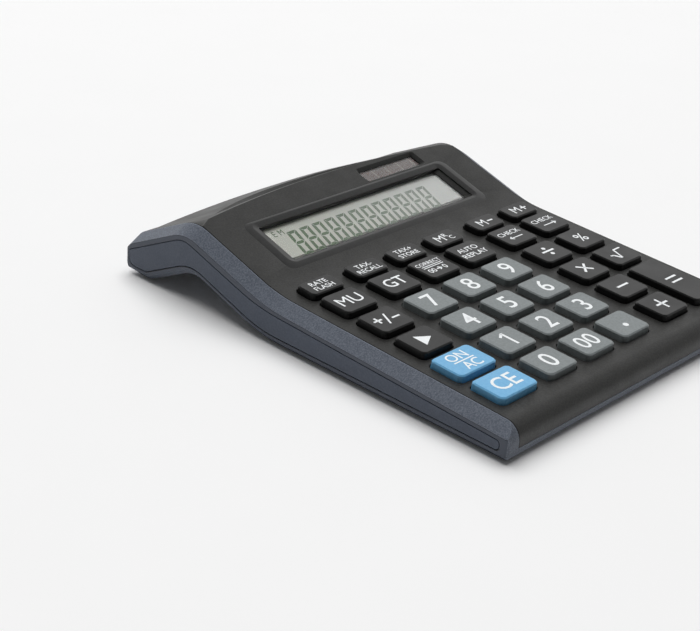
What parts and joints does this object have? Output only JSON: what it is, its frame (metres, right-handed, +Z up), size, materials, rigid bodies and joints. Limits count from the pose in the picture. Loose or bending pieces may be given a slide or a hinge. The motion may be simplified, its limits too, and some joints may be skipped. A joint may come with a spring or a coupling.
{
  "type": "desktop calculator",
  "caption": "Desktop calculator with a key deck that sweeps up to a raised, sloped display, an arched underside, wrapped side rails and spring-return keys.",
  "frame": {"origin": "centre of the footprint on the table plane under the rubber feet", "axes": "+X to the user's right across the keys, +Y from the user towards the raised display, +Z up"},
  "size_m": [0.148, 0.176, 0.03],
  "materials": {
    "shell_black": "fine moulded texture",
    "rail_blue": "satin with a slight metallic fleck",
    "inlay_blue": "satin",
    "key_black": "satin",
    "key_grey": "satin",
    "key_blue": "satin",
    "clear_window": "clear acrylic",
    "lcd_glass": "polariser film on glass",
    "frame_plastic": "moulded",
    "flat_cable": "polyimide film",
    "solar_glass": "amorphous silicon on glass",
    "lead_insulation": "extruded sleeve",
    "board_laminate": "solder mask",
    "keypad_rubber": "moulded silicone",
    "chip_resin": "cast resin",
    "ceramic": "fired ceramic",
    "cell_steel": "plated",
    "contact_metal": "nickel-plated spring strip",
    "screw_steel": "zinc plated",
    "foot_rubber": "matt"
  },
  "bodies": {
    "case": {"upper_case": "shell_black", "lower_case": "rail_blue", "side_inlay_left": "inlay_blue", "side_inlay_right": "inlay_blue", "display_window": "clear_window", "lcd_panel": "lcd_glass", "lcd_frame": "frame_plastic", "lcd_ribbon": "flat_cable", "solar_window": "clear_window", "solar_cell": "solar_glass", "solar_leads": "lead_insulation", "circuit_board": "board_laminate", "rubber_keypad": "keypad_rubber", "controller_chip": "chip_resin", "capacitors": "ceramic", "battery_cell": "cell_steel", "battery_contact_top": "contact_metal", "battery_contact_low": "contact_metal", "battery_cover": "rail_blue", "case_screws": "screw_steel", "small_screws": "screw_steel", "rubber_feet": "foot_rubber"},
    "key_rate_body": {"key_rate": "key_black"},
    "key_tax_minus_body": {"key_tax_minus": "key_black"},
    "key_tax_plus_body": {"key_tax_plus": "key_black"},
    "key_recall_body": {"key_recall": "key_black"},
    "key_m_minus_body": {"key_m_minus": "key_black"},
    "key_m_plus_body": {"key_m_plus": "key_black"},
    "key_mark_up_body": {"key_mark_up": "key_black"},
    "key_total_body": {"key_total": "key_black"},
    "key_correct_body": {"key_correct": "key_black"},
    "key_replay_body": {"key_replay": "key_black"},
    "key_check_back_body": {"key_check_back": "key_black"},
    "key_check_on_body": {"key_check_on": "key_black"},
    "key_sign_body": {"key_sign": "key_black"},
    "key_7_body": {"key_7": "key_grey"},
    "key_8_body": {"key_8": "key_grey"},
    "key_9_body": {"key_9": "key_grey"},
    "key_divide_body": {"key_divide": "key_black"},
    "key_percent_body": {"key_percent": "key_black"},
    "key_shift_body": {"key_shift": "key_black"},
    "key_4_body": {"key_4": "key_grey"},
    "key_5_body": {"key_5": "key_grey"},
    "key_6_body": {"key_6": "key_grey"},
    "key_multiply_body": {"key_multiply": "key_black"},
    "key_root_body": {"key_root": "key_black"},
    "key_on_body": {"key_on": "key_blue"},
    "key_1_body": {"key_1": "key_grey"},
    "key_2_body": {"key_2": "key_grey"},
    "key_3_body": {"key_3": "key_grey"},
    "key_minus_body": {"key_minus": "key_black"},
    "key_equals_body": {"key_equals": "key_black"},
    "key_clear_body": {"key_clear": "key_blue"},
    "key_0_body": {"key_0": "key_grey"},
    "key_00_body": {"key_00": "key_grey"},
    "key_point_body": {"key_point": "key_grey"},
    "key_plus_body": {"key_plus": "key_black"}
  },
  "joints": [
    {"name": "key_rate_press", "type": "slide", "parent": "case", "child": "key_rate_body", "axis": [0, 0.0436, -0.999], "range_m": [0, 0.0014], "stiffness_N_per_m": 300, "springref_m": -0.002, "deforming": ["rubber_keypad"]},
    {"name": "key_tax_minus_press", "type": "slide", "parent": "case", "child": "key_tax_minus_body", "axis": [0, 0.0436, -0.999], "range_m": [0, 0.0014], "stiffness_N_per_m": 300, "springref_m": -0.002, "deforming": ["rubber_keypad"]},
    {"name": "key_tax_plus_press", "type": "slide", "parent": "case", "child": "key_tax_plus_body", "axis": [0, 0.0436, -0.999], "range_m": [0, 0.0014], "stiffness_N_per_m": 300, "springref_m": -0.002, "deforming": ["rubber_keypad"]},
    {"name": "key_recall_press", "type": "slide", "parent": "case", "child": "key_recall_body", "axis": [0, 0.0436, -0.999], "range_m": [0, 0.0014], "stiffness_N_per_m": 300, "springref_m": -0.002, "deforming": ["rubber_keypad"]},
    {"name": "key_m_minus_press", "type": "slide", "parent": "case", "child": "key_m_minus_body", "axis": [0, 0.0436, -0.999], "range_m": [0, 0.0014], "stiffness_N_per_m": 300, "springref_m": -0.002, "deforming": ["rubber_keypad"]},
    {"name": "key_m_plus_press", "type": "slide", "parent": "case", "child": "key_m_plus_body", "axis": [0, 0.0436, -0.999], "range_m": [0, 0.0014], "stiffness_N_per_m": 300, "springref_m": -0.002, "deforming": ["rubber_keypad"]},
    {"name": "key_mark_up_press", "type": "slide", "parent": "case", "child": "key_mark_up_body", "axis": [0, 0.0436, -0.999], "range_m": [0, 0.0014], "stiffness_N_per_m": 300, "springref_m": -0.002, "deforming": ["rubber_keypad"]},
    {"name": "key_total_press", "type": "slide", "parent": "case", "child": "key_total_body", "axis": [0, 0.0436, -0.999], "range_m": [0, 0.0014], "stiffness_N_per_m": 300, "springref_m": -0.002, "deforming": ["rubber_keypad"]},
    {"name": "key_correct_press", "type": "slide", "parent": "case", "child": "key_correct_body", "axis": [0, 0.0436, -0.999], "range_m": [0, 0.0014], "stiffness_N_per_m": 300, "springref_m": -0.002, "deforming": ["rubber_keypad"]},
    {"name": "key_replay_press", "type": "slide", "parent": "case", "child": "key_replay_body", "axis": [0, 0.0436, -0.999], "range_m": [0, 0.0014], "stiffness_N_per_m": 300, "springref_m": -0.002, "deforming": ["rubber_keypad"]},
    {"name": "key_check_back_press", "type": "slide", "parent": "case", "child": "key_check_back_body", "axis": [0, 0.0436, -0.999], "range_m": [0, 0.0014], "stiffness_N_per_m": 300, "springref_m": -0.002, "deforming": ["rubber_keypad"]},
    {"name": "key_check_on_press", "type": "slide", "parent": "case", "child": "key_check_on_body", "axis": [0, 0.0436, -0.999], "range_m": [0, 0.0014], "stiffness_N_per_m": 300, "springref_m": -0.002, "deforming": ["rubber_keypad"]},
    {"name": "key_sign_press", "type": "slide", "parent": "case", "child": "key_sign_body", "axis": [0, 0.0436, -0.999], "range_m": [0, 0.0014], "stiffness_N_per_m": 300, "springref_m": -0.002, "deforming": ["rubber_keypad"]},
    {"name": "key_7_press", "type": "slide", "parent": "case", "child": "key_7_body", "axis": [0, 0.0436, -0.999], "range_m": [0, 0.0014], "stiffness_N_per_m": 300, "springref_m": -0.002, "deforming": ["rubber_keypad"]},
    {"name": "key_8_press", "type": "slide", "parent": "case", "child": "key_8_body", "axis": [0, 0.0436, -0.999], "range_m": [0, 0.0014], "stiffness_N_per_m": 300, "springref_m": -0.002, "deforming": ["rubber_keypad"]},
    {"name": "key_9_press", "type": "slide", "parent": "case", "child": "key_9_body", "axis": [0, 0.0436, -0.999], "range_m": [0, 0.0014], "stiffness_N_per_m": 300, "springref_m": -0.002, "deforming": ["rubber_keypad"]},
    {"name": "key_divide_press", "type": "slide", "parent": "case", "child": "key_divide_body", "axis": [0, 0.0436, -0.999], "range_m": [0, 0.0014], "stiffness_N_per_m": 300, "springref_m": -0.002, "deforming": ["rubber_keypad"]},
    {"name": "key_percent_press", "type": "slide", "parent": "case", "child": "key_percent_body", "axis": [0, 0.0436, -0.999], "range_m": [0, 0.0014], "stiffness_N_per_m": 300, "springref_m": -0.002, "deforming": ["rubber_keypad"]},
    {"name": "key_shift_press", "type": "slide", "parent": "case", "child": "key_shift_body", "axis": [0, 0.0436, -0.999], "range_m": [0, 0.0014], "stiffness_N_per_m": 300, "springref_m": -0.002, "deforming": ["rubber_keypad"]},
    {"name": "key_4_press", "type": "slide", "parent": "case", "child": "key_4_body", "axis": [0, 0.0436, -0.999], "range_m": [0, 0.0014], "stiffness_N_per_m": 300, "springref_m": -0.002, "deforming": ["rubber_keypad"]},
    {"name": "key_5_press", "type": "slide", "parent": "case", "child": "key_5_body", "axis": [0, 0.0436, -0.999], "range_m": [0, 0.0014], "stiffness_N_per_m": 300, "springref_m": -0.002, "deforming": ["rubber_keypad"]},
    {"name": "key_6_press", "type": "slide", "parent": "case", "child": "key_6_body", "axis": [0, 0.0436, -0.999], "range_m": [0, 0.0014], "stiffness_N_per_m": 300, "springref_m": -0.002, "deforming": ["rubber_keypad"]},
    {"name": "key_multiply_press", "type": "slide", "parent": "case", "child": "key_multiply_body", "axis": [0, 0.0436, -0.999], "range_m": [0, 0.0014], "stiffness_N_per_m": 300, "springref_m": -0.002, "deforming": ["rubber_keypad"]},
    {"name": "key_root_press", "type": "slide", "parent": "case", "child": "key_root_body", "axis": [0, 0.0436, -0.999], "range_m": [0, 0.0014], "stiffness_N_per_m": 300, "springref_m": -0.002, "deforming": ["rubber_keypad"]},
    {"name": "key_on_press", "type": "slide", "parent": "case", "child": "key_on_body", "axis": [0, 0.0436, -0.999], "range_m": [0, 0.0014], "stiffness_N_per_m": 300, "springref_m": -0.002, "deforming": ["rubber_keypad"]},
    {"name": "key_1_press", "type": "slide", "parent": "case", "child": "key_1_body", "axis": [0, 0.0436, -0.999], "range_m": [0, 0.0014], "stiffness_N_per_m": 300, "springref_m": -0.002, "deforming": ["rubber_keypad"]},
    {"name": "key_2_press", "type": "slide", "parent": "case", "child": "key_2_body", "axis": [0, 0.0436, -0.999], "range_m": [0, 0.0014], "stiffness_N_per_m": 300, "springref_m": -0.002, "deforming": ["rubber_keypad"]},
    {"name": "key_3_press", "type": "slide", "parent": "case", "child": "key_3_body", "axis": [0, 0.0436, -0.999], "range_m": [0, 0.0014], "stiffness_N_per_m": 300, "springref_m": -0.002, "deforming": ["rubber_keypad"]},
    {"name": "key_minus_press", "type": "slide", "parent": "case", "child": "key_minus_body", "axis": [0, 0.0436, -0.999], "range_m": [0, 0.0014], "stiffness_N_per_m": 300, "springref_m": -0.002, "deforming": ["rubber_keypad"]},
    {"name": "key_equals_press", "type": "slide", "parent": "case", "child": "key_equals_body", "axis": [0, 0.0436, -0.999], "range_m": [0, 0.0014], "stiffness_N_per_m": 300, "springref_m": -0.002, "deforming": ["rubber_keypad"]},
    {"name": "key_clear_press", "type": "slide", "parent": "case", "child": "key_clear_body", "axis": [0, 0.0436, -0.999], "range_m": [0, 0.0014], "stiffness_N_per_m": 300, "springref_m": -0.002, "deforming": ["rubber_keypad"]},
    {"name": "key_0_press", "type": "slide", "parent": "case", "child": "key_0_body", "axis": [0, 0.0436, -0.999], "range_m": [0, 0.0014], "stiffness_N_per_m": 300, "springref_m": -0.002, "deforming": ["rubber_keypad"]},
    {"name": "key_00_press", "type": "slide", "parent": "case", "child": "key_00_body", "axis": [0, 0.0436, -0.999], "range_m": [0, 0.0014], "stiffness_N_per_m": 300, "springref_m": -0.002, "deforming": ["rubber_keypad"]},
    {"name": "key_point_press", "type": "slide", "parent": "case", "child": "key_point_body", "axis": [0, 0.0436, -0.999], "range_m": [0, 0.0014], "stiffness_N_per_m": 300, "springref_m": -0.002, "deforming": ["rubber_keypad"]},
    {"name": "key_plus_press", "type": "slide", "parent": "case", "child": "key_plus_body", "axis": [0, 0.0436, -0.999], "range_m": [0, 0.0014], "stiffness_N_per_m": 300, "springref_m": -0.002, "deforming": ["rubber_keypad"]}
  ]
}
